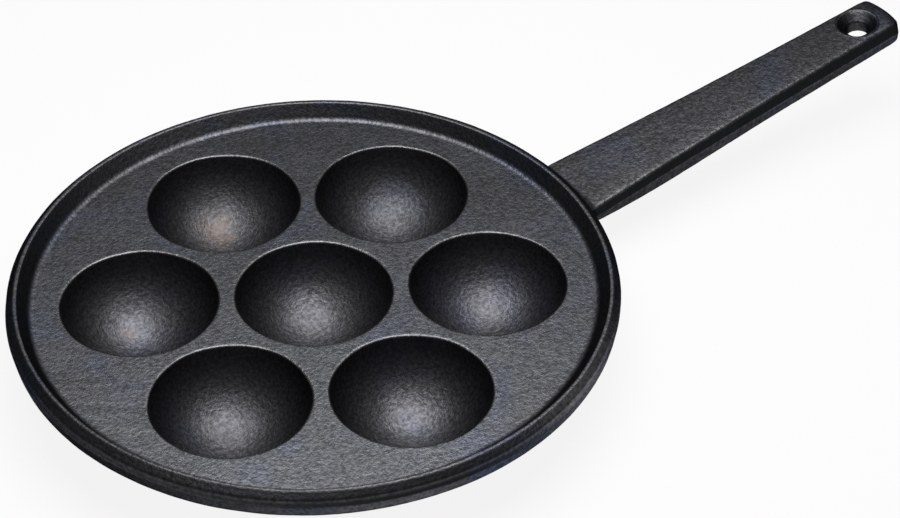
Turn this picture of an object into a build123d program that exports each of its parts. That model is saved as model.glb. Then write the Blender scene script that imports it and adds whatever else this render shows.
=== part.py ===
"""Round iron pan with seven deep wells, a low rim and a straight handle.

The pan is one casting. It is cut here along the natural borders of its
features: plate, rim, seven wells and handle. Millimetres, +Z up, +X along the
handle, origin on the axis of the pan at the plane its feet stand on.
"""
from math import cos, radians, sin, sqrt, tan
import os

from build123d import *

os.makedirs("parts", exist_ok=True)

# Wells
well_count = 6                 # wells round the middle one
well_mouth_radius = 29.3
well_depth = 25.3
well_lip_round = 1.3
well_seat_width = 1.7          # from the mouth to the border with the plate
well_bump_step = 0.6           # a bump is this much wider than its seat in the plate
well_gap = 1.8                 # between two neighbouring bumps under the plate
foot_radius = 5.5
foot_thickness = 3.2

# Plate and rim
plate_thickness = 5.1
plate_margin = 6.4             # from the outer bumps to the border with the rim
rim_foot_width = 2.3           # level part of the rim beside the plate
rim_foot_fillet = 2.5
rim_slope_width = 5.1          # from the foot of the inner slope to the middle of the crest
rim_height = 5.9
rim_crest_width = 1.2
rim_crest_round = 0.9
rim_shoulder_width = 3.5       # from the middle of the crest to the shoulder
rim_shoulder_drop = 1.9        # from the crest to the shoulder
rim_shoulder_round = 2.0
rim_wall_lean = 0.6            # the wall widens this much from the shoulder to the parting line
rim_parting_height = 1.3
rim_base_lean = 1.1            # and closes in this much from there to its base
rim_base_fillet = 3.0

# Handle
handle_rise = 7.24             # degrees
handle_draft = 6.0             # degrees
handle_root_lap = 0.9          # at the rim its top is this far above the underside of the plate
handle_length = 164.8          # from the rim to the tip, along the slope
handle_upper = 6.0             # top face to parting line
handle_lower_root = 2.3        # parting line to the underside at the rim
handle_reach = 10.0            # height of each drafted half before it is trimmed
handle_root_bite = 0.4         # how far the swelling runs into the wall of the rim
handle_tip_thickness = 11.4
handle_root_width = 34.2
handle_middle_width = 26.0
handle_tip_width = 21.4
handle_tip_round = 3.2
handle_tip_bulge = 1.5
handle_top_round = 1.4
handle_bottom_round = 2.4
handle_swell_length = 5.0      # the root swells over this length before the rim
handle_swell = 3.4
handle_belly_length = 32.9     # the underside is level from the rim to here
handle_belly_round = 300.0
root_block_reach = 12.0        # how far the root runs in under the rim and plate

# Hanging hole
hole_radius = 4.5
hole_dish_margin = 2.3         # from the dish to the sides of the handle at its tip
hole_tip_margin = 5.8          # from the dish to the tip
hole_dish_angle = 100.0        # degrees, whole cone
hole_dish_round = 0.8

half_turn = 180.0              # degrees

# Each radius of the pan follows from the one inside it
well_seat_radius = well_mouth_radius + well_seat_width
well_outer_radius = well_seat_radius + well_bump_step
well_circle_radius = (2 * well_outer_radius + well_gap) / (2 * sin(radians(half_turn / well_count)))
plate_radius = well_circle_radius + well_outer_radius + plate_margin
rim_foot_radius = plate_radius + rim_foot_width
rim_crest_radius = rim_foot_radius + rim_slope_width
rim_shoulder_radius = rim_crest_radius + rim_shoulder_width
rim_radius = rim_shoulder_radius + rim_wall_lean
rim_base_radius = rim_radius - rim_base_lean

plate_top = foot_thickness + well_depth
plate_bottom = plate_top - plate_thickness
rim_top = plate_top + rim_height
rim_shoulder_z = rim_top - rim_shoulder_drop
rim_parting_z = plate_top + rim_parting_height
hole_dish_radius = handle_tip_width / 2 - hole_dish_margin
hole_inset = hole_dish_radius + hole_tip_margin
axis_up = Axis.Z


def corner(section, x, z):
    """The corner of an upright section nearest to a point."""
    return section.vertices().sort_by_distance((x, z))[0]


# The handle lies on a plane that rises towards its tip
slope = radians(handle_rise)
along = (cos(slope), 0, sin(slope))
away = (-sin(slope), 0, cos(slope))
handle_root_z = plate_bottom + handle_root_lap
handle_top_plane = Plane(origin=(rim_radius, 0, handle_root_z), x_dir=along, z_dir=away)
handle_parting_plane = handle_top_plane.offset(-handle_upper)
tip_x = rim_radius + handle_length * cos(slope)
hole_x = rim_radius + (handle_length - hole_inset) * cos(slope)
tip_top_z = handle_root_z + handle_length * sin(slope)
tip_bottom_z = tip_top_z - handle_tip_thickness / cos(slope)


def export(part, name):
    """Names a finished piece and writes it."""
    part.label = name
    export_step(part, f"parts/{name}.step")


# Plate: a flat disc with a round seat for every well
with BuildPart() as plate:
    with BuildSketch(Plane.XY.offset(plate_bottom)):
        Circle(plate_radius)
        Circle(well_seat_radius, mode=Mode.SUBTRACT)
        with PolarLocations(well_circle_radius, well_count, start_angle=half_turn / well_count):
            Circle(well_seat_radius, mode=Mode.SUBTRACT)
    extrude(amount=plate_thickness)
export(plate.part, "plate")


# Rim: a low ring with a sloping inner face, a narrow crest and a parting line outside
with BuildPart() as rim:
    with BuildSketch(Plane.XZ) as rim_section:
        with BuildLine():
            Polyline(
                (plate_radius, plate_bottom),
                (plate_radius, plate_top),
                (rim_foot_radius, plate_top),
                (rim_crest_radius - rim_crest_width / 2, rim_top),
                (rim_crest_radius + rim_crest_width / 2, rim_top),
                (rim_shoulder_radius, rim_shoulder_z),
                (rim_radius, rim_parting_z),
                (rim_base_radius, plate_bottom),
                close=True,
            )
        make_face()
        fillet(corner(rim_section, rim_base_radius, plate_bottom), rim_base_fillet)
        fillet(corner(rim_section, rim_foot_radius, plate_top), rim_foot_fillet)
        fillet(corner(rim_section, rim_shoulder_radius, rim_shoulder_z), rim_shoulder_round)
        fillet(corner(rim_section, rim_crest_radius - rim_crest_width / 2, rim_top), rim_crest_round)
        fillet(corner(rim_section, rim_crest_radius + rim_crest_width / 2, rim_top), rim_crest_round)
    revolve(axis=axis_up)
export(rim.part, "rim")


def make_well(name, spot):
    """One deep round well: a cup with a rounded lip and a small flat foot."""
    x, y = spot
    centre_height = (well_outer_radius ** 2 + plate_bottom ** 2 - foot_radius ** 2) / (2 * plate_bottom)
    outer_sphere = sqrt(foot_radius ** 2 + centre_height ** 2)
    inner_sphere = (well_mouth_radius ** 2 + well_depth ** 2) / (2 * well_depth)
    well_plane = Plane(origin=(x, y, 0), x_dir=(1, 0, 0), z_dir=(0, -1, 0))
    with BuildPart() as well:
        with BuildSketch(well_plane):
            with BuildLine():
                Line((0, 0), (foot_radius, 0))
                RadiusArc((foot_radius, 0), (well_outer_radius, plate_bottom), -outer_sphere)
                Line((well_outer_radius, plate_bottom), (well_seat_radius, plate_bottom))
                Line((well_seat_radius, plate_bottom), (well_seat_radius, plate_top))
                Line((well_seat_radius, plate_top), (well_mouth_radius, plate_top))
                RadiusArc((well_mouth_radius, plate_top), (0, foot_thickness), inner_sphere)
                Line((0, foot_thickness), (0, 0))
            make_face()
        revolve(axis=Axis((x, y, 0), (0, 0, 1)))
        top_rings = well.edges().filter_by(GeomType.CIRCLE).group_by(Axis.Z)[-1]
        fillet(top_rings.sort_by(SortBy.RADIUS)[0], well_lip_round)
    export(well.part, name)


# Wells: one in the middle, the others round it with the handle between two of them
make_well("well_centre", (0, 0))
for number in range(well_count):
    turn = radians((2 * number + 1) * half_turn / well_count)
    spot = (well_circle_radius * cos(turn), well_circle_radius * sin(turn))
    make_well(f"well_outer_{number + 1}", spot)


def handle_outline(inset):
    """The handle seen from above: curved sides that close in, and a rounded tip."""
    root = handle_root_width / 2 - inset
    middle = handle_middle_width / 2 - inset
    tip = handle_tip_width / 2 - inset
    half_way = handle_length / 2
    end = handle_length - inset
    with BuildSketch() as outline:
        with BuildLine():
            Line((0, -root), (0, root))
            ThreePointArc((0, root), (half_way, middle), (end, tip))
            ThreePointArc((end, tip), (end + handle_tip_bulge, 0), (end, -tip))
            ThreePointArc((end, -tip), (half_way, -middle), (0, -root))
        make_face()
        fillet(outline.vertices().group_by(Axis.X)[-1], handle_tip_round - inset)
    return outline.sketch


def rise(x):
    """Height of the handle's top line at a distance x from the axis of the pan."""
    return handle_root_z + (x - rim_radius) * tan(slope)


def outer_edges(face):
    """The edges of a long face of the handle without the one that crosses it at the root."""
    return face.edges().filter_by(lambda edge: abs((edge @ 0.5).Y) > hole_radius or (edge @ 0.5).X > hole_x)


def is_hole_ring(edge):
    """Whether an edge is a ring of the hanging hole: a neck ring or the upper rim of the dish."""
    near = abs(edge.arc_center.X - hole_x) < hole_radius and edge.radius < hole_dish_radius + hole_dish_round
    return near and (edge.radius < hole_dish_radius - hole_dish_round or edge.arc_center.Z > tip_bottom_z)


# Arm of the handle: widest at its parting line, drawn in above and below it
draft_inset = handle_reach * tan(radians(handle_draft))
belly_z = handle_root_z - handle_upper / cos(slope) - handle_lower_root
belly_knee_x = rim_radius + handle_belly_length
belly_slope = (tip_bottom_z - belly_z) / (tip_x - belly_knee_x)
beyond_tip = tip_x + handle_tip_round
root_x = rim_radius + handle_swell_length
with BuildPart() as arm:
    with BuildSketch(handle_parting_plane):
        add(handle_outline(0))
    with BuildSketch(handle_parting_plane.offset(handle_reach)):
        add(handle_outline(draft_inset))
    loft(ruled=True)
    with BuildSketch(handle_parting_plane):
        add(handle_outline(0))
    with BuildSketch(handle_parting_plane.offset(-handle_reach)):
        add(handle_outline(draft_inset))
    loft(ruled=True)
    # Seen from the side: a straight rising top, a flat belly near the root
    with BuildSketch(Plane.XZ) as side_view:
        with BuildLine():
            Polyline(
                (root_x, belly_z),
                (belly_knee_x, belly_z),
                (beyond_tip, tip_bottom_z + belly_slope * handle_tip_round),
                (beyond_tip, rise(beyond_tip)),
                (root_x, rise(root_x)),
                close=True,
            )
        make_face()
        fillet(corner(side_view, belly_knee_x, belly_z), handle_belly_round)
    extrude(amount=rim_radius, both=True, mode=Mode.INTERSECT)
    long_faces = arm.faces().filter_by(GeomType.PLANE).sort_by(SortBy.AREA)
    fillet(outer_edges(long_faces[-1]), handle_top_round)
    long_faces = arm.faces().filter_by(GeomType.PLANE).sort_by(SortBy.AREA)
    fillet(outer_edges(long_faces[-2]), handle_bottom_round)

# Root: swells from the arm into the wall of the rim and runs in under the plate
arm_end = arm.faces().sort_by(Axis.X)[0]
swell_y = 1 + 2 * handle_swell / handle_root_width
swell_z = 1 + handle_swell / (rise(root_x) - belly_z)
wall_end = scale(arm_end, by=(1, swell_y, swell_z))
wall_end = Location((rim_base_radius - handle_root_bite - root_x, 0, (1 - swell_z) * belly_z)) * wall_end
with BuildPart() as root:
    loft(sections=[arm_end, wall_end])
    extrude(root.faces().sort_by(Axis.X)[0], amount=root_block_reach)

# The space the plate and the rim already fill
with BuildPart() as filled:
    with BuildSketch(Plane.XZ) as filled_section:
        with BuildLine():
            Polyline(
                (0, plate_bottom),
                (0, rim_top),
                (rim_shoulder_radius, rim_top),
                (rim_shoulder_radius, rim_shoulder_z),
                (rim_radius, rim_parting_z),
                (rim_base_radius, plate_bottom),
                close=True,
            )
        make_face()
        fillet(corner(filled_section, rim_base_radius, plate_bottom), rim_base_fillet)
    revolve(axis=axis_up)

# Handle: arm and root in one, butted on the rim and plate, with a dished hanging hole
hole_top = handle_top_plane.location * Location((handle_length - hole_inset, 0, 0))
hole_bottom = hole_top * Location((0, 0, -handle_tip_thickness), (half_turn, 0, 0))
with BuildPart() as handle:
    add(arm.part)
    add(root.part)
    add(filled.part, mode=Mode.SUBTRACT)
    with Locations(hole_top, hole_bottom):
        CounterSinkHole(hole_radius, hole_dish_radius, counter_sink_angle=hole_dish_angle)
    hole_rings = handle.edges().filter_by(GeomType.CIRCLE).filter_by(is_hole_ring)
    fillet(hole_rings, hole_dish_round)
export(handle.part, "handle")
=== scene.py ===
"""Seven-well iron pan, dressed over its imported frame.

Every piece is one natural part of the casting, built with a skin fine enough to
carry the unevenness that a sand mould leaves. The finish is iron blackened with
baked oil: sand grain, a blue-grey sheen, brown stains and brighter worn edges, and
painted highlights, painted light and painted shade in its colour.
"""
from itertools import product
from math import acos, ceil, cos, hypot, pi, radians, sin, sqrt, tan

import bpy
import numpy as np
from mathutils import Matrix, Vector
from mathutils.geometry import delaunay_2d_cdt


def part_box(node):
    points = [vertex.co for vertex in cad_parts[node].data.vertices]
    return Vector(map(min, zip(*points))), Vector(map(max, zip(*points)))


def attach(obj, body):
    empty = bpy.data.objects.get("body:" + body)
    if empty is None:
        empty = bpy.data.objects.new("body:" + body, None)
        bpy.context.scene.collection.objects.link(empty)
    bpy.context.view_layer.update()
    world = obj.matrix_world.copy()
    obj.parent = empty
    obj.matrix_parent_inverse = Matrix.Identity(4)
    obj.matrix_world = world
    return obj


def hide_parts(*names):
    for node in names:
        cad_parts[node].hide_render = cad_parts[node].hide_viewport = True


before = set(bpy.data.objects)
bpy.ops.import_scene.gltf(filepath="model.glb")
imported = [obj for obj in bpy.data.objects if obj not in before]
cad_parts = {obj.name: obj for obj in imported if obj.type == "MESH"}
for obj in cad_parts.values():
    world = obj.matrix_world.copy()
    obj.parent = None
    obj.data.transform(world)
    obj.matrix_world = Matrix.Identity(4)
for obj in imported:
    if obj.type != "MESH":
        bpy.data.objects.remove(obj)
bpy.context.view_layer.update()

# The pan is worked out in millimetres and handed to Blender in metres
MM = 0.001
skin_step = 0.6     # size of the faces of the skin
well_turns = 320    # faces round a well
rim_turns = 1080    # faces round the rim


def extent(node):
    """Lowest and highest corner of a node of the frame."""
    low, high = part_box(node)
    return np.array(low) / MM, np.array(high) / MM


# Heights and radii the frame gives
plate_low, plate_high = extent("plate")
plate_bottom, plate_top = plate_low[2], plate_high[2]
plate_radius = plate_high[0]
rim_low, rim_high = extent("rim")
rim_top, rim_radius = rim_high[2], rim_high[0]
well_nodes = sorted(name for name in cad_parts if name.startswith("well_"))
well_spots = {name: sum(extent(name))[:2] / 2 for name in well_nodes}
bump_radius = extent("well_centre")[1][0]

# Wells
seat_radius = bump_radius - 0.6
mouth_radius = 29.3
well_depth = 25.3
lip_round = 1.1
lip_points = 7
foot_radius = 5.5
foot_round = 0.9
floor_thickness = plate_top - well_depth

# Rim section, as (radius, height, round)
crest = rim_radius - 4.1
shoulder = rim_radius - 0.6
rim_parting = plate_top + 1.3
rim_section = [
    (plate_radius, plate_top, 0),
    (plate_radius + 2.3, plate_top, 2.5),
    (crest - 0.6, rim_top, 0.9),
    (crest + 0.6, rim_top, 0.9),
    (shoulder, rim_top - 1.9, 2.0),
    (rim_radius, rim_parting, 0.35),
    (rim_radius - 1.1, plate_bottom, 3.0),
    (plate_radius, plate_bottom, 0),
]

# Handle: u runs along its slope from the rim, v across it, w square to its top.
# Half its width is given at three places along it, as (place, half width).
handle_slope = radians(7.24)
handle_draft = radians(6.0)
handle_start = np.array([rim_radius, 0.0, plate_bottom + 0.9])
handle_length = 164.8
handle_halves = [(0.0, 17.1), (handle_length / 2, 13.0), (handle_length, 10.7)]
handle_upper = 6.0
handle_tip_round = 3.2
handle_tip_bulge = 1.5
handle_top_round = 1.4
handle_under_round = 2.4
handle_under_round_tip = 1.5
end_top_round = 2.0
end_under_round = 2.6
end_blend = 5.0
handle_inner_end = -14.4
handle_side_end = handle_length - 9.0
handle_side_points = 24
tip_points = (-6.0, -3.6, -1.2, 1.2, 3.6, 6.0)
root_points = 60
round_narrows = (90.0, 135.0)
handle_crown = 0.32
handle_crown_width = 7.0
end_crown = 0.5
end_crown_width = 4.5
parting_rise = 0.8
parting_fall = 1.6
parting_fall_end = 150.0
tip_thickness = 11.4
under_guess = -10.0
belly_thickness = 2.3
belly_level = 32.9
belly_blend = 20.3
swell_start = 5.0
swell_span = 6.5
swell_out = 0.199
swell_up = 0.3785
swell_curve = 1.35

# Hanging hole
hole_radius = 4.5
hole_place = handle_length - 14.2
dish_radius = 8.4
dish_slope = radians(50.0)
dish_round = 0.8

# How far the mouths of the wells and the crest of the rim wander from true circles
mouth_wander = 0.42
mouth_wander_width = 17.0
mouth_wander_depth = 9.0
crest_wander = 0.45
crest_wander_turn = radians(115.0)
crest_lump = 0.35
crest_lump_width = 38.0
wander_fade = 4.0

# How far the mould lets the skin fall short of the smooth shape, as (bump width, depth, seed)
face_marks = [(34.0, 0.20, 11), (8.5, 0.10, 12), (2.2, 0.055, 13)]
handle_marks = [(30.0, 0.20, 21), (6.5, 0.09, 22), (2.4, 0.075, 23)]
stain_spots = [(1.5, 75.0, 8.0, 0.42), (5.5, 70.5, 3.0, 0.6), (-56.6, 42.6, 3.0, 0.35)]
ripple_spot = np.array([-93.0, -3.0])
ripple_reach = np.array([14.0, 34.0])
ripple_depth = 0.16
ripple_width = 3.4
ripple_length = 13.0

# How worn the edges of the wells and the rim are, with painted highlights along them, from 0 to 1
lip_worn_and_highlight = 0.8
crest_worn_and_highlight = 0.9
crest_highlight_less = 0.5
rim_line_worn_and_highlight = 0.35

# How much painted shade darkens each kind of face, from 0 to 1; each lighter share is painted light that
# takes some of it away
under_dark = 0.55
cup_dark = 0.6
handle_under_dark = 0.52
bore_dark = 0.25
bore_darker_side = 0.65
bore_dark_turn = radians(35.0)
slope_dark = 0.86
slope_lighter_far = 0.20
slope_lighter_handle = 0.14
wall_dark = 0.78
wall_darker_front = 0.24
wall_lighter_bend = 0.55
wall_lighter_lit_side = 0.80
foot_lighter_front = 0.86
crest_darker = 0.4

# Sides of the rim that get more painted light and painted shade than others, as (direction, width) in
# degrees
rim_sides = {
    "handle": (0, 40), "far": (80, 40), "left": (200, 45), "shaded crest": (205, 40), "shaded": (250, 55),
    "front": (256, 28), "lit_side": (297, 14),
}

# How worn the handle is, with a painted highlight along the near edge of its top, from 0 to 1, and where
# that starts and ends along it
far_edge_worn_and_highlight = 0.15
top_edge_worn = 0.35
line_worn = 0.25
line_worn_more = 0.55
line_worn_range = (20.0, 160.0)
tip_without_highlight = (2.0, 6.0)
dish_worn = 0.35


def unit(vector):
    """The direction of a vector, one long."""
    return vector / np.linalg.norm(vector)


def rounded_line(corners, step):
    """A line through corners (x, y, round), rounded there, with points a step apart."""
    spots = [np.array(corner[:2], float) for corner in corners]
    line = [spots[0]]
    for before, here, after, corner in zip(spots, spots[1:], spots[2:], corners[1:]):
        radius = corner[2]
        if not radius:
            line.append(here)
            continue
        back, on = unit(before - here), unit(after - here)
        half = acos(float(back @ on)) / 2
        centre = here + unit(back + on) * radius / sin(half)
        first, last = here + back * radius / tan(half) - centre, here + on * radius / tan(half) - centre
        swing = pi - 2 * half
        pieces = max(3, ceil(radius * swing / step))
        for t in np.arange(pieces + 1) / pieces:
            line.append(centre + (sin((1 - t) * swing) * first + sin(t * swing) * last) / sin(swing))
    line.append(spots[-1])
    result = [line[0]]
    for start, end in zip(line, line[1:]):
        pieces = max(1, ceil(np.linalg.norm(end - start) / step))
        result += [start + (end - start) * k / pieces for k in range(1, pieces + 1)]
    return np.array(result)


def grid_faces(rows, closed=True):
    """Four- and three-cornered faces between rows of point numbers, open side to the left of their run."""
    a, d = rows[:-1], rows[1:]
    b, c = np.roll(a, -1, 1), np.roll(d, -1, 1)
    faces = np.stack([a, d, c, b], -1)
    if not closed:
        faces = faces[:, :-1]
    faces = faces.reshape(-1, 4)
    low_pole, high_pole = faces[:, 0] == faces[:, 3], faces[:, 1] == faces[:, 2]
    three = np.concatenate([faces[low_pole][:, [0, 1, 2]], faces[high_pole][:, [0, 1, 3]]])
    return faces[~(low_pole | high_pole)], three


class Skin:
    """Points and faces of one piece while it is being built."""

    def __init__(self):
        self.points = np.zeros((0, 3))
        self.four = np.zeros((0, 4), int)
        self.three = np.zeros((0, 3), int)
        self.hidden = []                    # flat faces where the piece meets its neighbours

    def add(self, points):
        """Adds points and gives their numbers."""
        first = len(self.points)
        self.points = np.concatenate([self.points, points])
        return np.arange(first, len(self.points))

    def cover(self, rows, closed=True):
        """Adds the faces between rows of point numbers."""
        four, three = grid_faces(np.array(rows), closed)
        self.four = np.concatenate([self.four, four])
        self.three = np.concatenate([self.three, three])

    def turned(self, profile, turns, centre=(0.0, 0.0)):
        """Turns (radius, height) points about an upright axis and gives the rows of point numbers."""
        angle = np.arange(turns) * 2 * pi / turns
        ring = np.stack([np.cos(angle), np.sin(angle)], 1)
        rows = []
        for radius, height in profile:
            if radius < 1e-6:
                spot = self.add(np.array([[centre[0], centre[1], height]]))
                rows.append(np.full(turns, spot[0]))
            else:
                rows.append(self.add(np.column_stack([ring * radius + centre, np.full(turns, height)])))
        self.cover(rows)
        return rows

    def fill(self, loops, clearance, place, upward=True):
        """Fills a flat region with near-equal triangles.

        loops: numbers and flat places of the points on its borders. clearance: how far
        inside the region flat places lie. place: flat places to points in space."""
        edge_numbers = np.concatenate([numbers for numbers, spots in loops])
        edge_spots = np.concatenate([spots for numbers, spots in loops])
        low, high = edge_spots.min(0), edge_spots.max(0)
        across = np.arange(low[0], high[0], skin_step)
        up = np.arange(low[1], high[1], skin_step * sqrt(3) / 2)
        shift = (np.arange(len(up)) % 2) * skin_step / 2
        lattice = np.stack([(across[None] + shift[:, None]).ravel(), np.repeat(up, len(across))], 1)
        lattice = lattice[clearance(lattice) > 0.55 * skin_step]
        numbers = np.concatenate([edge_numbers, self.add(place(lattice))])
        spots = np.concatenate([edge_spots, lattice])
        edges, first = [], 0
        for loop_numbers, loop_spots in loops:
            count = len(loop_numbers)
            edges += [(first + k, first + (k + 1) % count) for k in range(count)]
            first += count
        made = delaunay_2d_cdt([Vector(spot) for spot in spots], edges, [], 0, 1e-7)
        origin = np.array([source[0] if source else -1 for source in made[3]])
        faces = origin[np.array([face for face in made[2] if len(face) == 3])]
        faces = faces[(faces >= 0).all(1)]
        faces = faces[clearance(spots[faces].mean(1)) > 0]
        one, two = spots[faces[:, 1]] - spots[faces[:, 0]], spots[faces[:, 2]] - spots[faces[:, 0]]
        turn = one[:, 0] * two[:, 1] - one[:, 1] * two[:, 0]
        faces = faces[abs(turn) > 1e-9]
        turn = turn[abs(turn) > 1e-9]
        wrong = (turn < 0) if upward else (turn > 0)
        faces[wrong] = faces[wrong][:, ::-1]
        self.three = np.concatenate([self.three, numbers[faces]])

    def wall(self, upper, lower):
        """Closes the piece between two rings where it meets its neighbour."""
        upper, lower = list(upper), list(lower)
        for k in range(len(upper)):
            n = (k + 1) % len(upper)
            self.hidden.append((upper[k], lower[k], lower[n], upper[n]))

    def facing(self):
        """The directions in which the points of the skin face."""
        way = np.zeros_like(self.points)
        for faces, corners in ((self.four, (0, 2, 1, 3)), (self.three, (0, 1, 0, 2))):
            i, j, k, m = (faces[:, corner] for corner in corners)
            square = np.cross(self.points[j] - self.points[i], self.points[m] - self.points[k])
            for corner in range(faces.shape[1]):
                np.add.at(way, faces[:, corner], square)
        return way / np.maximum(np.linalg.norm(way, axis=1), 1e-12)[:, None]


def lumps(points, width, seed):
    """Smooth random numbers from about -1 to 1, in lumps about one width across."""
    chance = np.random.default_rng(seed)
    table = chance.permutation(256)
    slopes = chance.normal(size=(256, 3))
    slopes /= np.linalg.norm(slopes, axis=1)[:, None]
    spot = points / width
    cell = np.floor(spot).astype(int)
    inside = spot - cell
    ease = inside ** 3 * (inside * (inside * 6 - 15) + 10)
    total = np.zeros(len(points))
    for corner in product((0, 1), repeat=3):
        c = cell + corner
        pick = table[(table[(table[c[:, 0] & 255] + c[:, 1]) & 255] + c[:, 2]) & 255]
        share = np.where(np.array(corner) == 1, ease, 1 - ease).prod(1)
        total += share * (slopes[pick] * (inside - corner)).sum(1)
    return np.clip(total * 1.6, -1, 1)


def mould_marks(points, marks):
    """How far the cast skin lies inside the smooth shape."""
    depth = np.zeros(len(points))
    for width, size, seed in marks:
        depth += size * (0.5 + 0.5 * lumps(points, width, seed))
    return depth


def ripples(points):
    """Wrinkles that the iron froze into on one side of the plate."""
    away = (points[:, :2] - ripple_spot) / ripple_reach
    share = np.exp(-(away ** 2).sum(1))
    turned = points @ np.array([[0.80, -0.60, 0], [0.60, 0.80, 0], [0, 0, 1]]).T
    stretched = turned / np.array([ripple_length, ripple_width, ripple_width])
    return ripple_depth * share * (0.5 + 0.5 * lumps(stretched, 1.0, 31))


def stains(points):
    """Brown stains that baked-on batter left in two of the wells."""
    share = np.zeros(len(points))
    for x, y, radius, strength in stain_spots:
        away = np.hypot(points[:, 0] - x, points[:, 1] - y) / radius
        ragged = away + 0.45 * lumps(points, 3.5, 41) + 0.25 * lumps(points, 1.2, 42)
        share = np.maximum(share, strength * np.clip(1.3 - ragged, 0, 1))
    return share * (points[:, 2] > floor_thickness - 0.5)


def cast_piece(skin, node, finish, marks, shares, rippled=False, fall=0.0):
    """Makes a node's dressed piece from its skin, with the marks of the mould.

    shares: for each point, how worn the skin is with painted highlights, how much lighter and how stained it
    is, and how much painted shade it has.
    fall: how far more each point lies inside the smooth shape."""
    depth = mould_marks(skin.points, marks) + fall
    if rippled:
        depth += ripples(skin.points)
    points = skin.points - skin.facing() * depth[:, None]
    mesh = bpy.data.meshes.new(node + "_casting")
    faces = skin.four.tolist() + skin.three.tolist()
    # The faces towards the neighbours have their own points, so that the skin stays smooth up to its edge
    border = sorted({number for face in skin.hidden for number in face})
    own = {number: len(points) + k for k, number in enumerate(border)}
    points = np.concatenate([points, points[border]])
    hidden = [[own[number] for number in face] for face in skin.hidden]
    mesh.from_pydata((points * MM).tolist(), [], faces + hidden)
    mesh.polygons.foreach_set("use_smooth", [True] * len(faces) + [False] * len(hidden))
    for title, values in shares.items():
        mark = mesh.attributes.new(title, "FLOAT", "POINT")
        values = np.append(values, values[border])
        mark.data.foreach_set("value", np.clip(values, 0, 1).astype(np.float32))
    mesh.materials.append(finish)
    mesh.update()
    piece = bpy.data.objects.new(node + "_casting", mesh)
    bpy.context.scene.collection.objects.link(piece)
    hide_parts(node)
    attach(piece, "root")
    return piece


def near(distance, width):
    """1 on a line and fading to 0 over a width."""
    return np.exp(-(distance / width) ** 2)


def ramp(value, start, end):
    """0 up to a start, 1 from an end on, and rising evenly between them."""
    return np.clip((value - start) / (end - start), 0, 1)


# Finish


class Net:
    """Short words for placing shader nodes."""

    def __init__(self, tree):
        self.tree = tree

    def node(self, kind, **values):
        """Places a node and sets its properties."""
        made = self.tree.nodes.new(kind)
        for name, value in values.items():
            setattr(made, name, value)
        return made

    def join(self, start, end):
        """Joins an output to an input."""
        self.tree.links.new(start, end)

    def set(self, node, **values):
        """Sets or joins a node's inputs, named with _ for a space."""
        for name, value in values.items():
            socket = node.inputs[name.replace("_", " ")]
            if isinstance(value, bpy.types.NodeSocket):
                self.join(value, socket)
            else:
                socket.default_value = value

    def sum(self, operation, *values, clamp=False):
        """Works out one number from others."""
        made = self.node("ShaderNodeMath", operation=operation, use_clamp=clamp)
        for socket, value in zip(made.inputs, values):
            if isinstance(value, bpy.types.NodeSocket):
                self.join(value, socket)
            else:
                socket.default_value = value
        return made.outputs[0]

    def spread(self, value, low, high, to_low=0.0, to_high=1.0):
        """Maps a value from one range to another and holds it there."""
        made = self.node("ShaderNodeMapRange")
        self.set(made, Value=value, From_Min=low, From_Max=high, To_Min=to_low, To_Max=to_high)
        return made.outputs[0]

    def blend(self, share, first, second):
        """A colour between two others."""
        made = self.node("ShaderNodeMix", data_type="RGBA")
        for socket, value in zip((made.inputs[0], made.inputs[6], made.inputs[7]), (share, first, second)):
            if isinstance(value, bpy.types.NodeSocket):
                self.join(value, socket)
            else:
                socket.default_value = value
        return made.outputs[2]

    def cloud(self, place, scale, detail=2.0, roughness=0.5, twist=0.0):
        """Soft noise from 0 to 1."""
        made = self.node("ShaderNodeTexNoise")
        self.set(made, Vector=place, Scale=scale, Detail=detail, Roughness=roughness, Distortion=twist)
        return made.outputs[0]


def new_group(name, inputs, outputs):
    """An empty node group with named sockets, and the nodes that hold them."""
    tree = bpy.data.node_groups.new(name, "ShaderNodeTree")
    for title, kind, value in inputs:
        socket = tree.interface.new_socket(name=title, in_out="INPUT", socket_type=kind)
        if value is not None:
            socket.default_value = value
    for title, kind in outputs:
        tree.interface.new_socket(name=title, in_out="OUTPUT", socket_type=kind)
    net = Net(tree)
    return net, net.node("NodeGroupInput"), net.node("NodeGroupOutput")


def build_sand_grain():
    """The grain that moulding sand leaves: rounded lumps with finer grit on them."""
    net, given, result = new_group(
        "sand_grain",
        [("Lump Scale", "NodeSocketFloat", 900.0), ("Grit Scale", "NodeSocketFloat", 2400.0),
         ("Grit Share", "NodeSocketFloat", 0.22)],
        [("Height", "NodeSocketFloat"), ("Hollow", "NodeSocketFloat"), ("Crown", "NodeSocketFloat")],
    )
    place = net.node("ShaderNodeTexCoord").outputs["Object"]
    lump = net.cloud(place, given.outputs["Lump Scale"], 2.0, 0.55, 0.3)
    grit = net.cloud(place, given.outputs["Grit Scale"], 1.0, 0.5)
    grit_part = net.sum("MULTIPLY", net.sum("SUBTRACT", grit, 0.5), given.outputs["Grit Share"])
    height = net.sum("ADD", net.spread(lump, 0.28, 0.72), grit_part)
    net.join(height, result.inputs["Height"])
    net.join(net.spread(height, 0.55, 0.1), result.inputs["Hollow"])
    net.join(net.spread(height, 0.5, 0.95), result.inputs["Crown"])
    return net.tree


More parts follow.
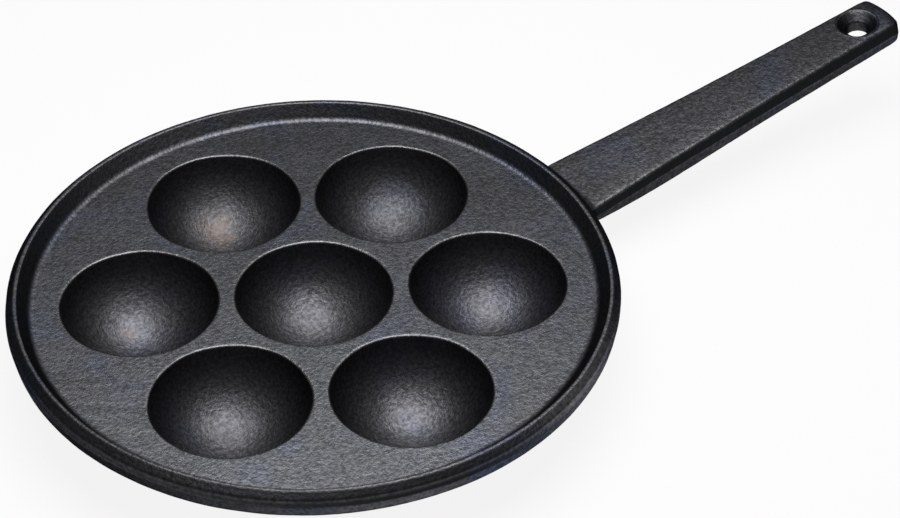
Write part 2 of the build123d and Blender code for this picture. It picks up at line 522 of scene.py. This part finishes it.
def build_baked_oil():
    """The baked oil: a blue-grey sheen in clouds, and brown where it is thick."""
    net, given, result = new_group(
        "baked_oil",
        [("Black", "NodeSocketColor", (0.03, 0.03, 0.033, 1)),
         ("Sheen", "NodeSocketColor", (0.06, 0.062, 0.07, 1)),
         ("Brown", "NodeSocketColor", (0.055, 0.045, 0.036, 1)), ("Cloud Scale", "NodeSocketFloat", 45.0),
         ("Brown Share", "NodeSocketFloat", 0.3), ("Blue", "NodeSocketColor", (0.09, 0.10, 0.15, 1)),
         ("Blue Share", "NodeSocketFloat", 0.7)],
        [("Color", "NodeSocketColor"), ("Sheen Mask", "NodeSocketFloat")],
    )
    place = net.node("ShaderNodeTexCoord").outputs["Object"]
    wide = net.spread(net.cloud(place, given.outputs["Cloud Scale"], 4.0, 0.6, 0.6), 0.32, 0.66)
    fine = net.spread(net.cloud(place, 420.0, 3.0, 0.6), 0.3, 0.7)
    sheen = net.sum("ADD", net.sum("MULTIPLY", wide, 0.65), net.sum("MULTIPLY", fine, 0.35))
    brown = net.spread(net.cloud(place, 26.0, 3.0, 0.55, 0.4), 0.52, 0.68)
    brown = net.sum("MULTIPLY", brown, given.outputs["Brown Share"])
    colour = net.blend(sheen, given.outputs["Black"], given.outputs["Sheen"])
    colour = net.blend(brown, colour, given.outputs["Brown"])
    blue = net.spread(net.cloud(place, 31.0, 2.0, 0.5, 0.6), 0.50, 0.66)
    blue = net.sum("MULTIPLY", blue, given.outputs["Blue Share"])
    net.join(net.blend(blue, colour, given.outputs["Blue"]), result.inputs["Color"])
    net.join(sheen, result.inputs["Sheen Mask"])
    return net.tree


def build_edge_wear_and_highlight():
    """Where the oil is worn off an edge, and where a highlight is painted on it, broken up by the grain."""
    net, given, result = new_group(
        "edge_wear_and_highlight",
        [("Edge", "NodeSocketFloat", 0.0), ("Amount", "NodeSocketFloat", 1.0),
         ("Height", "NodeSocketFloat", 0.5)],
        [("Mask", "NodeSocketFloat")],
    )
    place = net.node("ShaderNodeTexCoord").outputs["Object"]
    patchy = net.spread(net.cloud(place, 160.0, 3.0, 0.6), 0.35, 0.65, 0.35, 1.0)
    high = net.spread(given.outputs["Height"], 0.25, 0.75, 0.35, 1.0)
    mask = net.sum("MULTIPLY", net.sum("MULTIPLY", given.outputs["Edge"], patchy), high)
    net.join(net.sum("MULTIPLY", mask, given.outputs["Amount"], clamp=True), result.inputs["Mask"])
    return net.tree


lightened_colour = (0.235, 0.243, 0.262, 1)
crown_glint_colour = (0.36, 0.36, 0.38, 1)
hollow_shade_colour = (0.02, 0.02, 0.021, 1)
stain_colour = (0.165, 0.122, 0.095, 1)
# The colour of the painted shade
painted_shade_colour = (0.018, 0.019, 0.021, 1)
worn_and_highlight_colour = (0.30, 0.29, 0.28, 1)
low_angle_tint = (0.25, 0.25, 0.27, 1)

# The most that a mask changes the colour or the roughness
lightened_most = 0.38
crown_most = 0.16
hollow_most = 0.45
sheen_rougher = 0.06
sheen_smoother = 0.05
worn_smoother = 0.12
lightened_smoother = 0.06

sand_grain = build_sand_grain()
baked_oil = build_baked_oil()
edge_wear_and_highlight = build_edge_wear_and_highlight()


def blackened_iron(name, lump_scale, grain_depth, oil_colours, blue_share, brown_share, wear_and_highlight, roughness):
    """Iron with baked oil on it, for one kind of surface of the pan."""
    black, sheen, blue = oil_colours
    finish = bpy.data.materials.new(name)
    finish.use_nodes = True
    finish.diffuse_color = (*sheen[:3], 1)
    finish.node_tree.nodes.clear()
    net = Net(finish.node_tree)
    iron = net.node("ShaderNodeBsdfPrincipled")
    net.join(iron.outputs[0], net.node("ShaderNodeOutputMaterial").inputs["Surface"])
    iron.inputs["Metallic"].default_value = 1.0
    iron.inputs["Specular Tint"].default_value = low_angle_tint

    grain = net.node("ShaderNodeGroup", node_tree=sand_grain)
    net.set(grain, Lump_Scale=lump_scale, Grit_Scale=lump_scale * 2.6)
    oil = net.node("ShaderNodeGroup", node_tree=baked_oil)
    net.set(oil, Black=(*black, 1), Sheen=(*sheen, 1), Blue=(*blue, 1))
    net.set(oil, Blue_Share=blue_share, Brown_Share=brown_share)
    worn_and_highlight = net.node("ShaderNodeAttribute", attribute_name="worn_and_highlight")
    wear_and_highlight_group = net.node("ShaderNodeGroup", node_tree=edge_wear_and_highlight)
    net.set(wear_and_highlight_group, Edge=worn_and_highlight.outputs["Fac"], Amount=wear_and_highlight, Height=grain.outputs["Height"])

    # Lighter on the top of the plate and where it meets the wells and the rim, and painted light on the wall
    # of the rim's lit side
    lightened = net.node("ShaderNodeAttribute", attribute_name="lightened")
    lightened_share = net.sum("MULTIPLY", lightened.outputs["Fac"], lightened_most)
    colour = net.blend(lightened_share, oil.outputs["Color"], lightened_colour)
    # Painted glints on the peaks of the grain and painted shade in its hollows
    colour = net.blend(net.sum("MULTIPLY", grain.outputs["Crown"], crown_most), colour, crown_glint_colour)
    colour = net.blend(net.sum("MULTIPLY", grain.outputs["Hollow"], hollow_most), colour, hollow_shade_colour)
    stained = net.node("ShaderNodeAttribute", attribute_name="stained")
    colour = net.blend(stained.outputs["Fac"], colour, stain_colour)
    # Painted shade, as strong as this attribute says
    painted_shade = net.node("ShaderNodeAttribute", attribute_name="painted_shade")
    colour = net.blend(painted_shade.outputs["Fac"], colour, painted_shade_colour)
    # Worn edges and painted highlights
    colour = net.blend(wear_and_highlight_group.outputs["Mask"], colour, worn_and_highlight_colour)
    net.set(iron, Base_Color=colour)
    dull, smooth = roughness + sheen_rougher, roughness - sheen_smoother
    rough = net.spread(oil.outputs["Sheen Mask"], 0.0, 1.0, dull, smooth)
    rough = net.sum("SUBTRACT", rough, net.sum("MULTIPLY", wear_and_highlight_group.outputs["Mask"], worn_smoother))
    rough = net.sum("SUBTRACT", rough, net.sum("MULTIPLY", lightened.outputs["Fac"], lightened_smoother))
    net.set(iron, Roughness=rough)
    bump = net.node("ShaderNodeBump")
    net.set(bump, Height=grain.outputs["Height"], Distance=grain_depth * MM, Strength=1.0)
    net.set(iron, Normal=bump.outputs[0])
    return finish


face_iron = blackened_iron(
    "cooking_face_iron", lump_scale=760.0, grain_depth=0.085,
    oil_colours=[(0.085, 0.084, 0.091), (0.135, 0.135, 0.150), (0.098, 0.113, 0.184)],
    blue_share=0.7, brown_share=0.15, wear_and_highlight=0.45, roughness=0.48)
well_iron = blackened_iron(
    "well_iron", lump_scale=760.0, grain_depth=0.085,
    oil_colours=[(0.085, 0.084, 0.091), (0.135, 0.135, 0.150), (0.100, 0.112, 0.170)],
    blue_share=0.3, brown_share=0.15, wear_and_highlight=0.45, roughness=0.48)
handle_iron = blackened_iron(
    "handle_iron", lump_scale=640.0, grain_depth=0.125,
    oil_colours=[(0.080, 0.079, 0.086), (0.122, 0.121, 0.135), (0.098, 0.108, 0.150)],
    blue_share=0.7, brown_share=0.10, wear_and_highlight=0.34, roughness=0.50)


# Pieces


def make_plate():
    """The flat web between the wells."""
    skin = Skin()

    def clearance(spots):
        inside = plate_radius - np.hypot(spots[:, 0], spots[:, 1])
        for centre in well_spots.values():
            inside = np.minimum(inside, np.hypot(*(spots - centre).T) - seat_radius)
        return inside

    levels = {}
    for height, upward in ((plate_top, True), (plate_bottom, False)):
        loops = []
        rings = [((0.0, 0.0), plate_radius, rim_turns)]
        rings += [(centre, seat_radius, well_turns) for centre in well_spots.values()]
        for centre, radius, turns in rings:
            angle = np.arange(turns) * 2 * pi / turns
            spots = np.stack([np.cos(angle), np.sin(angle)], 1) * radius + centre
            loops.append((skin.add(np.column_stack([spots, np.full(turns, height)])), spots))
        skin.fill(loops, clearance, lambda s, z=height: np.column_stack([s, np.full(len(s), z)]), upward)
        levels[upward] = [numbers for numbers, spots in loops]
    for k, (upper, lower) in enumerate(zip(levels[True], levels[False])):
        skin.wall(upper, lower) if k == 0 else skin.wall(lower, upper)
    # The top is lighter; the underside gets painted shade
    face = skin.points[:, 2] > plate_top - 1.0
    shares = {"worn_and_highlight": 0.0 * face, "lightened": 1.0 * face, "painted_shade": under_dark * (1.0 - face)}
    cast_piece(skin, "plate", face_iron, face_marks, shares, rippled=True)


def make_well(node):
    """A deep round well with a rounded lip; its bump stands on a small flat foot."""
    skin = Skin()
    centre = well_spots[node]
    ball = (mouth_radius ** 2 + well_depth ** 2) / (2 * well_depth)
    ball_height = plate_top - well_depth + ball
    lip_height = plate_top - lip_round
    lip_radius = sqrt((ball + lip_round) ** 2 - (ball_height - lip_height) ** 2)
    lip_angle = np.arctan2(lip_height - ball_height, lip_radius)
    cup_arc = np.linspace(-pi / 2, lip_angle, ceil(ball * (lip_angle + pi / 2) / skin_step))
    cup = np.stack([ball * np.cos(cup_arc), ball_height + ball * np.sin(cup_arc)], 1)
    cup[0, 0] = 0.0
    lip_arc = np.linspace(lip_angle + pi, pi / 2, lip_points)
    lip = np.stack([lip_radius + lip_round * np.cos(lip_arc), lip_height + lip_round * np.sin(lip_arc)], 1)
    top = skin.turned(np.concatenate([cup, lip[1:], [[seat_radius, plate_top]]]), well_turns, centre)

    shell_height = (bump_radius ** 2 + plate_bottom ** 2 - foot_radius ** 2) / (2 * plate_bottom)
    shell = hypot(foot_radius, shell_height)
    start, end = np.arctan2(plate_bottom - shell_height, bump_radius), np.arctan2(-shell_height, foot_radius)
    shell_arc = np.linspace(start, end, ceil(shell * (start - end) / skin_step))[:-2]
    bump = [(seat_radius, plate_bottom)]
    bump += [(shell * cos(a), shell_height + shell * sin(a)) for a in shell_arc]
    foot = rounded_line([(*bump[-1], 0), (foot_radius, 0.0, foot_round), (0.0, 0.0, 0)], skin_step)
    under = skin.turned(np.concatenate([bump, foot[1:]]), well_turns, centre)
    skin.wall(under[0], top[-1])

    out = np.hypot(*(skin.points[:, :2] - centre).T)
    height = skin.points[:, 2]
    # The lip is worn with a painted highlight; the upper walls of the cup and the underside get painted
    # shade
    shares = {"worn_and_highlight": lip_worn_and_highlight * near(out - lip_radius + 0.35, 0.65) * (height > plate_top - 1.0)}
    shares["lightened"] = ramp(out, mouth_radius - 0.4, mouth_radius + 0.4)
    shares["painted_shade"] = cup_dark * ramp(height, plate_top - 19, plate_top - 5) * (out < mouth_radius)
    shares["painted_shade"][np.concatenate(under)] = under_dark
    # The mouth isn't quite round, but the cup is round again below it and where it meets the plate
    wander = mouth_wander * lumps(skin.points, mouth_wander_width, 51)
    wander *= ramp(height, plate_top - mouth_wander_depth, plate_top)
    wander *= ramp(-out, -seat_radius, -mouth_radius)
    skin.points[:, :2] += (skin.points[:, :2] - centre) * (wander / np.maximum(out, 1.0))[:, None]
    shares["stained"] = stains(skin.points)
    cast_piece(skin, node, well_iron, face_marks, shares, rippled=True)


def make_rim():
    """The low rim: sloping inner face, narrow crest, parting line round its outer wall."""
    skin = Skin()
    rows = skin.turned(rounded_line(rim_section, skin_step), rim_turns)
    skin.wall(rows[-1], rows[0])
    out = np.hypot(skin.points[:, 0], skin.points[:, 1])
    height = skin.points[:, 2]
    turn = np.arctan2(skin.points[:, 1], skin.points[:, 0])

    def round_about(side):
        """1 at one side of the rim and fading to 0 away from it."""
        degrees, width = rim_sides[side]
        away = np.degrees((turn - radians(degrees) + pi) % (2 * pi) - pi)
        return near(away, width)

    front, lit_side = round_about("front"), round_about("lit_side")
    wall = ramp(out, crest + 0.4, crest + 1.2)
    parting = near(np.hypot(out - rim_radius, height - rim_parting), 0.5)
    # The crest is worn, with a painted highlight that is weaker on the left; the parting line has a painted
    # highlight except at the front and on the lit side, and the wall of the lit side has painted light
    worn_and_highlight = near(np.hypot(np.maximum(abs(out - crest) - 0.4, 0), height - rim_top), 0.35)
    worn_and_highlight *= crest_worn_and_highlight - crest_highlight_less * round_about("left")
    worn_and_highlight = np.maximum(worn_and_highlight, rim_line_worn_and_highlight * parting * (1 - np.maximum(front, lit_side)))
    worn_and_highlight = np.maximum(worn_and_highlight, lit_side * wall * (height > plate_top + 2.0))
    # Lighter next to the plate, and painted light on the wall of the lit side
    lightened = np.maximum(ramp(-out, -plate_radius - 3.0, -plate_radius - 1.4), lit_side * wall)

    # Painted shade, darkest on the slope inside the crest, lighter on the wall, darker on the wall in front
    # and on one side of the crest;
    # painted light takes some away on the far and handle sides of the slope, at the bend of the wall, on the
    # lit side and at the foot in front
    slope = ramp(out, plate_radius + 2.4, plate_radius + 3.3) * (rim_top - height > 0.25)
    lighter = slope_lighter_far * round_about("far") + slope_lighter_handle * round_about("handle")
    slope *= slope_dark - lighter
    bend = near(height - plate_top - 3.4, 0.7) * round_about("shaded")
    lighter = wall_lighter_bend * bend + wall_lighter_lit_side * lit_side
    wall *= np.clip(wall_dark + wall_darker_front * front - lighter, 0, 1)
    dark = np.where(out < crest + 0.4, slope, wall)
    below = ramp(-height, -plate_top - 1.0, -plate_top - 0.4) * (out > crest)
    dark -= foot_lighter_front * front * below
    dark += crest_darker * round_about("shaded crest") * near(out - crest, 1.0) * (height > rim_top - 1)
    dark[height < plate_bottom + 0.2] = under_dark
    shares = {"worn_and_highlight": worn_and_highlight, "lightened": lightened, "painted_shade": dark}

    # The crest is not quite round, and bends in and out a little
    fade = np.where(out < crest, rim_top - plate_top, wander_fade)
    wander = np.cos(2 * (turn - crest_wander_turn)) + crest_lump * lumps(skin.points, crest_lump_width, 52)
    wander *= crest_wander * np.clip(1 - (rim_top - height) / fade, 0, 1)
    skin.points[:, :2] *= (1 + wander / out)[:, None]
    cast_piece(skin, "rim", face_iron, face_marks, shares, rippled=True)


def end_line(v):
    """Where the bulging end of the handle lies along it, at a place across it."""
    return handle_length + handle_tip_bulge * (1 - (v / handle_halves[-1][1]) ** 2)


def parting_depth(u):
    """How far the parting line lies below the top of the handle."""
    return handle_upper - parting_rise + parting_fall * ramp(u, 0, parting_fall_end)


def side_rows(depth, round_off, straight_steps, round_steps):
    """(inset, depth) rows from the parting line to a face at a depth, drafted and rounded."""
    start = depth - round_off * (1 - sin(handle_draft))
    rows = [(start * k / straight_steps * tan(handle_draft), start * k / straight_steps)
            for k in range(1, straight_steps + 1)]
    centre_depth = depth - round_off
    centre_inset = centre_depth * tan(handle_draft) + round_off / cos(handle_draft)
    for angle in np.linspace(handle_draft, pi / 2, round_steps + 1)[1:]:
        rows.append((centre_inset - round_off * cos(angle), centre_depth + round_off * sin(angle)))
    return rows


def make_handle():
    """The straight handle, drawn in above and below its parting line, with a dished hole."""
    skin = Skin()
    (a_u, a_v), (b_u, b_v), (c_u, c_v) = handle_halves
    slant = np.array([[b_u - a_u, b_v - a_v], [c_u - b_u, c_v - b_v]])
    a_far, b_far, c_far = a_u ** 2 + a_v ** 2, b_u ** 2 + b_v ** 2, c_u ** 2 + c_v ** 2
    side_centre = np.linalg.solve(slant, 0.5 * np.array([b_far - a_far, c_far - b_far]))
    side_radius = hypot(a_u - side_centre[0], a_v - side_centre[1])

    def half_width(u):
        """Half the width at the parting line, at a place along the handle."""
        u = np.maximum(u, swell_start)
        return side_centre[1] - np.sqrt(side_radius ** 2 - (u - side_centre[0]) ** 2)

    stations = np.linspace(handle_inner_end, handle_side_end, handle_side_points)
    tip_half = handle_halves[-1][1]
    near_side = [(u, -float(half_width(u)), 0) for u in stations]
    tip_line = [(handle_length, -tip_half, handle_tip_round)]
    tip_line += [(end_line(v), v, 0) for v in tip_points]
    tip_line += [(handle_length, tip_half, handle_tip_round)]
    far_side = [(u, -v, 0) for u, v, _ in near_side[::-1]]
    outline = rounded_line(near_side + tip_line + far_side, skin_step)
    run = np.gradient(outline, axis=0)
    outward = np.stack([run[:, 1], -run[:, 0]], 1) / np.linalg.norm(run, axis=1)[:, None]

    start_x, start_z = handle_start[0], handle_start[2]
    rise, reach = sin(handle_slope), cos(handle_slope)
    belly = start_z - handle_upper / reach - belly_thickness
    knee = start_x + belly_level
    tip_x = start_x + handle_length * reach
    tip_low = start_z + handle_length * rise - tip_thickness / reach
    belly_rise = (tip_low - belly) / (tip_x - knee)

    def belly_line(x):
        """The height of the underside, level near the rim and rising from the knee."""
        bend = belly_rise / (4 * belly_blend) * np.clip(x - knee + belly_blend, 0, 2 * belly_blend) ** 2
        return belly + bend + belly_rise * np.maximum(x - knee - belly_blend, 0)

    def under(u):
        """The w of the underside at a place along the handle."""
        u, w = np.maximum(u, swell_start), np.full(np.shape(u), under_guess)
        for _ in range(4):
            w = (belly_line(start_x + u * reach - w * rise) - start_z - u * rise) / reach
        return w

    def place(u, v, w):
        """A place on the handle to a point in space; the root swells into the rim."""
        held = np.maximum(u, swell_start)
        x = start_x + held * reach - w * rise + (u - held)
        z = start_z + held * rise + w * reach
        share = np.clip((swell_start - u) / swell_span, 0, 1) ** swell_curve
        return np.stack([x, v * (1 + swell_out * share), belly + (z - belly) * (1 + swell_up * share)], 1)

    # Rows of points from the edge of the top down over the side to the edge of the underside
    fineness = 2
    straight_rows, round_rows = 4 * fineness, 3 * fineness
    line_depth = parting_depth(outline[:, 0])
    end_share = ramp(outline[:, 0], handle_length - end_blend, handle_length)
    top_round = handle_top_round + (end_top_round - handle_top_round) * end_share
    upper = side_rows(line_depth, top_round, straight_rows, round_rows)
    round_share = ramp(outline[:, 0], *round_narrows)
    under_round = handle_under_round + (handle_under_round_tip - handle_under_round) * round_share
    under_round += (end_under_round - under_round) * end_share
    drop = -line_depth - under(outline[:, 0])
    lower = side_rows(drop, under_round, straight_rows, round_rows)
    rows, flat = [], []
    for inset, depth in upper[::-1]:
        spot = outline - outward * inset[:, None]
        flat.append(spot)
        rows.append(skin.add(place(spot[:, 0], spot[:, 1], -line_depth + depth)))
    rows.append(skin.add(place(outline[:, 0], outline[:, 1], -line_depth)))
    flat.append(outline)
    for inset, depth in lower:
        spot = outline - outward * inset[:, None]
        flat.append(spot)
        level = -line_depth - depth + (under(spot[:, 0]) - under(outline[:, 0])) * depth / drop
        rows.append(skin.add(place(spot[:, 0], spot[:, 1], level)))
    skin.cover(rows, closed=False)

    # Dish, bore and dish: from the underside up to the top
    turns = 48 * fineness
    angle = np.arange(turns) * 2 * pi / turns
    ring = np.stack([np.cos(angle), np.sin(angle)], 1)
    low = float(under(np.array([hole_place]))[0])
    deep = (dish_radius - hole_radius) / tan(dish_slope)
    brim = dish_radius + dish_round * tan((pi / 2 - dish_slope) / 2) * 1.02
    hole_line = rounded_line([
        (brim, low, 0), (dish_radius, low, dish_round), (hole_radius, low + deep, dish_round),
        (hole_radius, -deep, dish_round), (dish_radius, 0.0, dish_round), (brim, 0.0, 0),
    ], skin_step / 1.5)
    hole_rows = []
    for radius, height in hole_line:
        spots = ring * radius + (hole_place, 0.0)
        tilt = (under(spots[:, 0]) - low) * np.clip((height - low / 2) / (low / 2), 0, 1)
        hole_rows.append(skin.add(place(spots[:, 0], spots[:, 1], height + tilt)))
    skin.cover(hole_rows)
    brim_spots = ring * hole_line[-1][0] + (hole_place, 0.0)

    def face(row, level, upward):
        """Fills the top or the underside inside one row."""
        border = flat[row]
        half = len(border) // 2
        side = border[:half][np.argsort(border[:half, 0])]
        across = np.linspace(border[-1, 1], border[0, 1], root_points + 2)[1:-1]
        end_spots = np.stack([np.full(root_points, border[0, 0]), across], 1)
        end = skin.add(place(end_spots[:, 0], end_spots[:, 1], level(end_spots[:, 0])))

        def clearance(spots):
            inside = -np.interp(spots[:, 0], side[:, 0], side[:, 1]) - abs(spots[:, 1])
            inside = np.minimum(inside, side[:, 0].max() - spots[:, 0])
            inside = np.minimum(inside, spots[:, 0] - border[0, 0])
            return np.minimum(inside, np.hypot(spots[:, 0] - hole_place, spots[:, 1]) - hole_line[-1][0])

        loops = [
            (np.concatenate([rows[row], end]), np.concatenate([border, end_spots])),
            (hole_rows[-1] if upward else hole_rows[0], brim_spots),
        ]
        first = len(skin.points)
        skin.fill(loops, clearance, lambda s: place(s[:, 0], s[:, 1], level(s[:, 0])), upward)
        return end, np.concatenate([end, np.arange(first, len(skin.points))])

    top_end, top_face = face(0, lambda u: np.zeros(len(u)), True)
    low_end, low_face = face(len(rows) - 1, under, False)
    numbers = np.array(rows)
    ring_round = [*numbers[:, 0], *low_end[::-1], *numbers[::-1, -1], *top_end]
    skin.hidden.append(ring_round[::-1])

    # The top falls a little towards its edges and its end
    edge = skin.points[numbers[0]]
    side = edge[:len(edge) // 2]
    side = side[np.argsort(side[:, 0])]
    fall = np.zeros(len(skin.points))
    inward = np.interp(skin.points[top_face, 0], side[:, 0], -side[:, 1]) - abs(skin.points[top_face, 1])
    fall[top_face] = handle_crown * np.clip(1 - inward / handle_crown_width, 0, 1) ** 2
    run_u = (skin.points[top_face, 0] - start_x) / reach
    before_end = end_line(skin.points[top_face, 1]) - end_top_round - 0.7 - run_u
    fall[top_face] += end_crown * np.clip(1 - before_end / end_crown_width, 0, 1) ** 2
    for k, row in enumerate(numbers[:len(upper) + 1]):
        fall[row] = (handle_crown + end_crown * end_share) * np.clip(1.6 - k / (2 * fineness), 0, 1)

    # Worn along the near edge of the top with a painted highlight there, little of it on the far edge; worn
    # along the parting line and round the dish
    worn_and_highlight = np.zeros(len(skin.points))
    near_edge = (outline[:, 1] < 0) * ramp(handle_length - outline[:, 0], *tip_without_highlight)
    for k, row in enumerate(numbers[:round_rows + 1]):
        edge_share = far_edge_worn_and_highlight + (1 - far_edge_worn_and_highlight) * near_edge
        worn_and_highlight[row] = near(k - 1.2 * fineness, 1.8 * fineness) * edge_share
    worn_and_highlight[top_face] = np.maximum(worn_and_highlight[top_face], top_edge_worn * near(inward, 1.6))
    worn_and_highlight[numbers[len(upper)]] = line_worn + line_worn_more * ramp(outline[:, 0], *line_worn_range)
    out = np.hypot(*(skin.points[:, :2] - skin.points[hole_rows[-1]].mean(0)[:2]).T)
    hole_numbers = np.concatenate(hole_rows)
    worn_and_highlight[hole_numbers] = dish_worn * near(out[hole_numbers] - dish_radius, 0.6)

    # Painted shade: dark above the parting line, over the far edge and the end, less dark below it, and in
    # the hole, darker on one side of the bore
    dark = np.zeros(len(worn_and_highlight))
    dark[numbers[round_rows:len(upper)].ravel()] = 1
    for k, row in enumerate(numbers[:round_rows]):
        dark[row] = (1 - near_edge) * np.clip(k / (2 * fineness), 0, 1)
    dark[numbers[len(upper):].ravel()] = handle_under_dark
    dark[low_face] = handle_under_dark
    for row, (radius, height) in zip(hole_rows, hole_line):
        inside = ramp(-height, 0, 0.5)
        dark[row] = inside * (bore_dark + bore_darker_side * abs(np.cos(angle + bore_dark_turn)))
    shares = {"worn_and_highlight": worn_and_highlight, "lightened": 0 * worn_and_highlight, "painted_shade": dark}
    cast_piece(skin, "handle", handle_iron, handle_marks, shares, fall=fall)


make_plate()
for well in well_nodes:
    make_well(well)
make_rim()
make_handle()


# Setting: a pale floor, a large soft lamp overhead, and the camera


def make_floor():
    """A wide pale floor that shows the pan's shadow."""
    size = 9.0
    mesh = bpy.data.meshes.new("floor")
    corners = [(-size, -size, 0), (size, -size, 0), (size, size, 0), (-size, size, 0)]
    mesh.from_pydata(corners, [], [(0, 1, 2, 3)])
    paint = bpy.data.materials.new("floor_white")
    paint.use_nodes = True
    paint.node_tree.nodes.clear()
    net = Net(paint.node_tree)
    matt = net.node("ShaderNodeBsdfDiffuse")
    matt.inputs["Color"].default_value = (0.9, 0.9, 0.9, 1)
    white = net.node("ShaderNodeEmission")
    white.inputs["Strength"].default_value = 1.0
    ray = net.node("ShaderNodeLightPath")
    seen = net.sum("MAXIMUM", ray.outputs["Is Camera Ray"], ray.outputs["Is Glossy Ray"])
    seen = net.sum("MAXIMUM", seen, ray.outputs["Is Transmission Ray"])
    paper = net.node("ShaderNodeMixShader")
    net.join(net.sum("MULTIPLY", seen, 0.88), paper.inputs[0])
    net.join(matt.outputs[0], paper.inputs[1])
    net.join(white.outputs[0], paper.inputs[2])
    clear = net.node("ShaderNodeBsdfTransparent")
    side = net.node("ShaderNodeNewGeometry")
    choice = net.node("ShaderNodeMixShader")
    net.join(side.outputs["Backfacing"], choice.inputs[0])
    net.join(paper.outputs[0], choice.inputs[1])
    net.join(clear.outputs[0], choice.inputs[2])
    net.join(choice.outputs[0], net.node("ShaderNodeOutputMaterial").inputs["Surface"])
    mesh.materials.append(paint)
    floor = bpy.data.objects.new("floor", mesh)
    bpy.context.scene.collection.objects.link(floor)


def make_lamp(name, place, target, size, power):
    """A round soft lamp that faces a target."""
    data = bpy.data.lights.new(name, "AREA")
    data.shape = "DISK"
    data.size = size
    data.energy = power
    lamp = bpy.data.objects.new(name, data)
    lamp.location = place
    lamp.rotation_euler = (Vector(target) - Vector(place)).to_track_quat("-Z", "Y").to_euler()
    lamp.visible_camera = False
    bpy.context.scene.collection.objects.link(lamp)


def make_sky(strength):
    """Even light from all round."""
    world = bpy.data.worlds.new("studio")
    world.use_nodes = True
    sky = world.node_tree.nodes["Background"]
    sky.inputs["Color"].default_value = (1.0, 1.0, 1.0, 1)
    sky.inputs["Strength"].default_value = strength
    bpy.context.scene.world = world


def make_camera():
    """The camera that sees the pan as it was photographed, from in front of its left side."""
    data = bpy.data.cameras.new("camera")
    data.sensor_width = 36.0
    data.lens = 115.79
    data.clip_start, data.clip_end = 0.05, 60.0
    camera = bpy.data.objects.new("camera", data)
    right = Vector((0.82274, -0.56839, -0.00538))
    up = Vector((0.36997, 0.52830, 0.76422))
    back = Vector((-0.43154, -0.63074, 0.64494))
    turn = Matrix((right, up, back)).transposed()
    camera.matrix_world = Matrix.Translation((-0.41946, -0.70291, 0.73367)) @ turn.to_4x4()
    bpy.context.scene.collection.objects.link(camera)
    bpy.context.scene.camera = camera


make_floor()
make_sky(0.10)
make_lamp("overhead_lamp", (0.05, 0.0, 0.58), (0.05, 0.0, 0.0), 0.60, 3.75)
make_camera()
bpy.context.scene.view_settings.view_transform = "Standard"
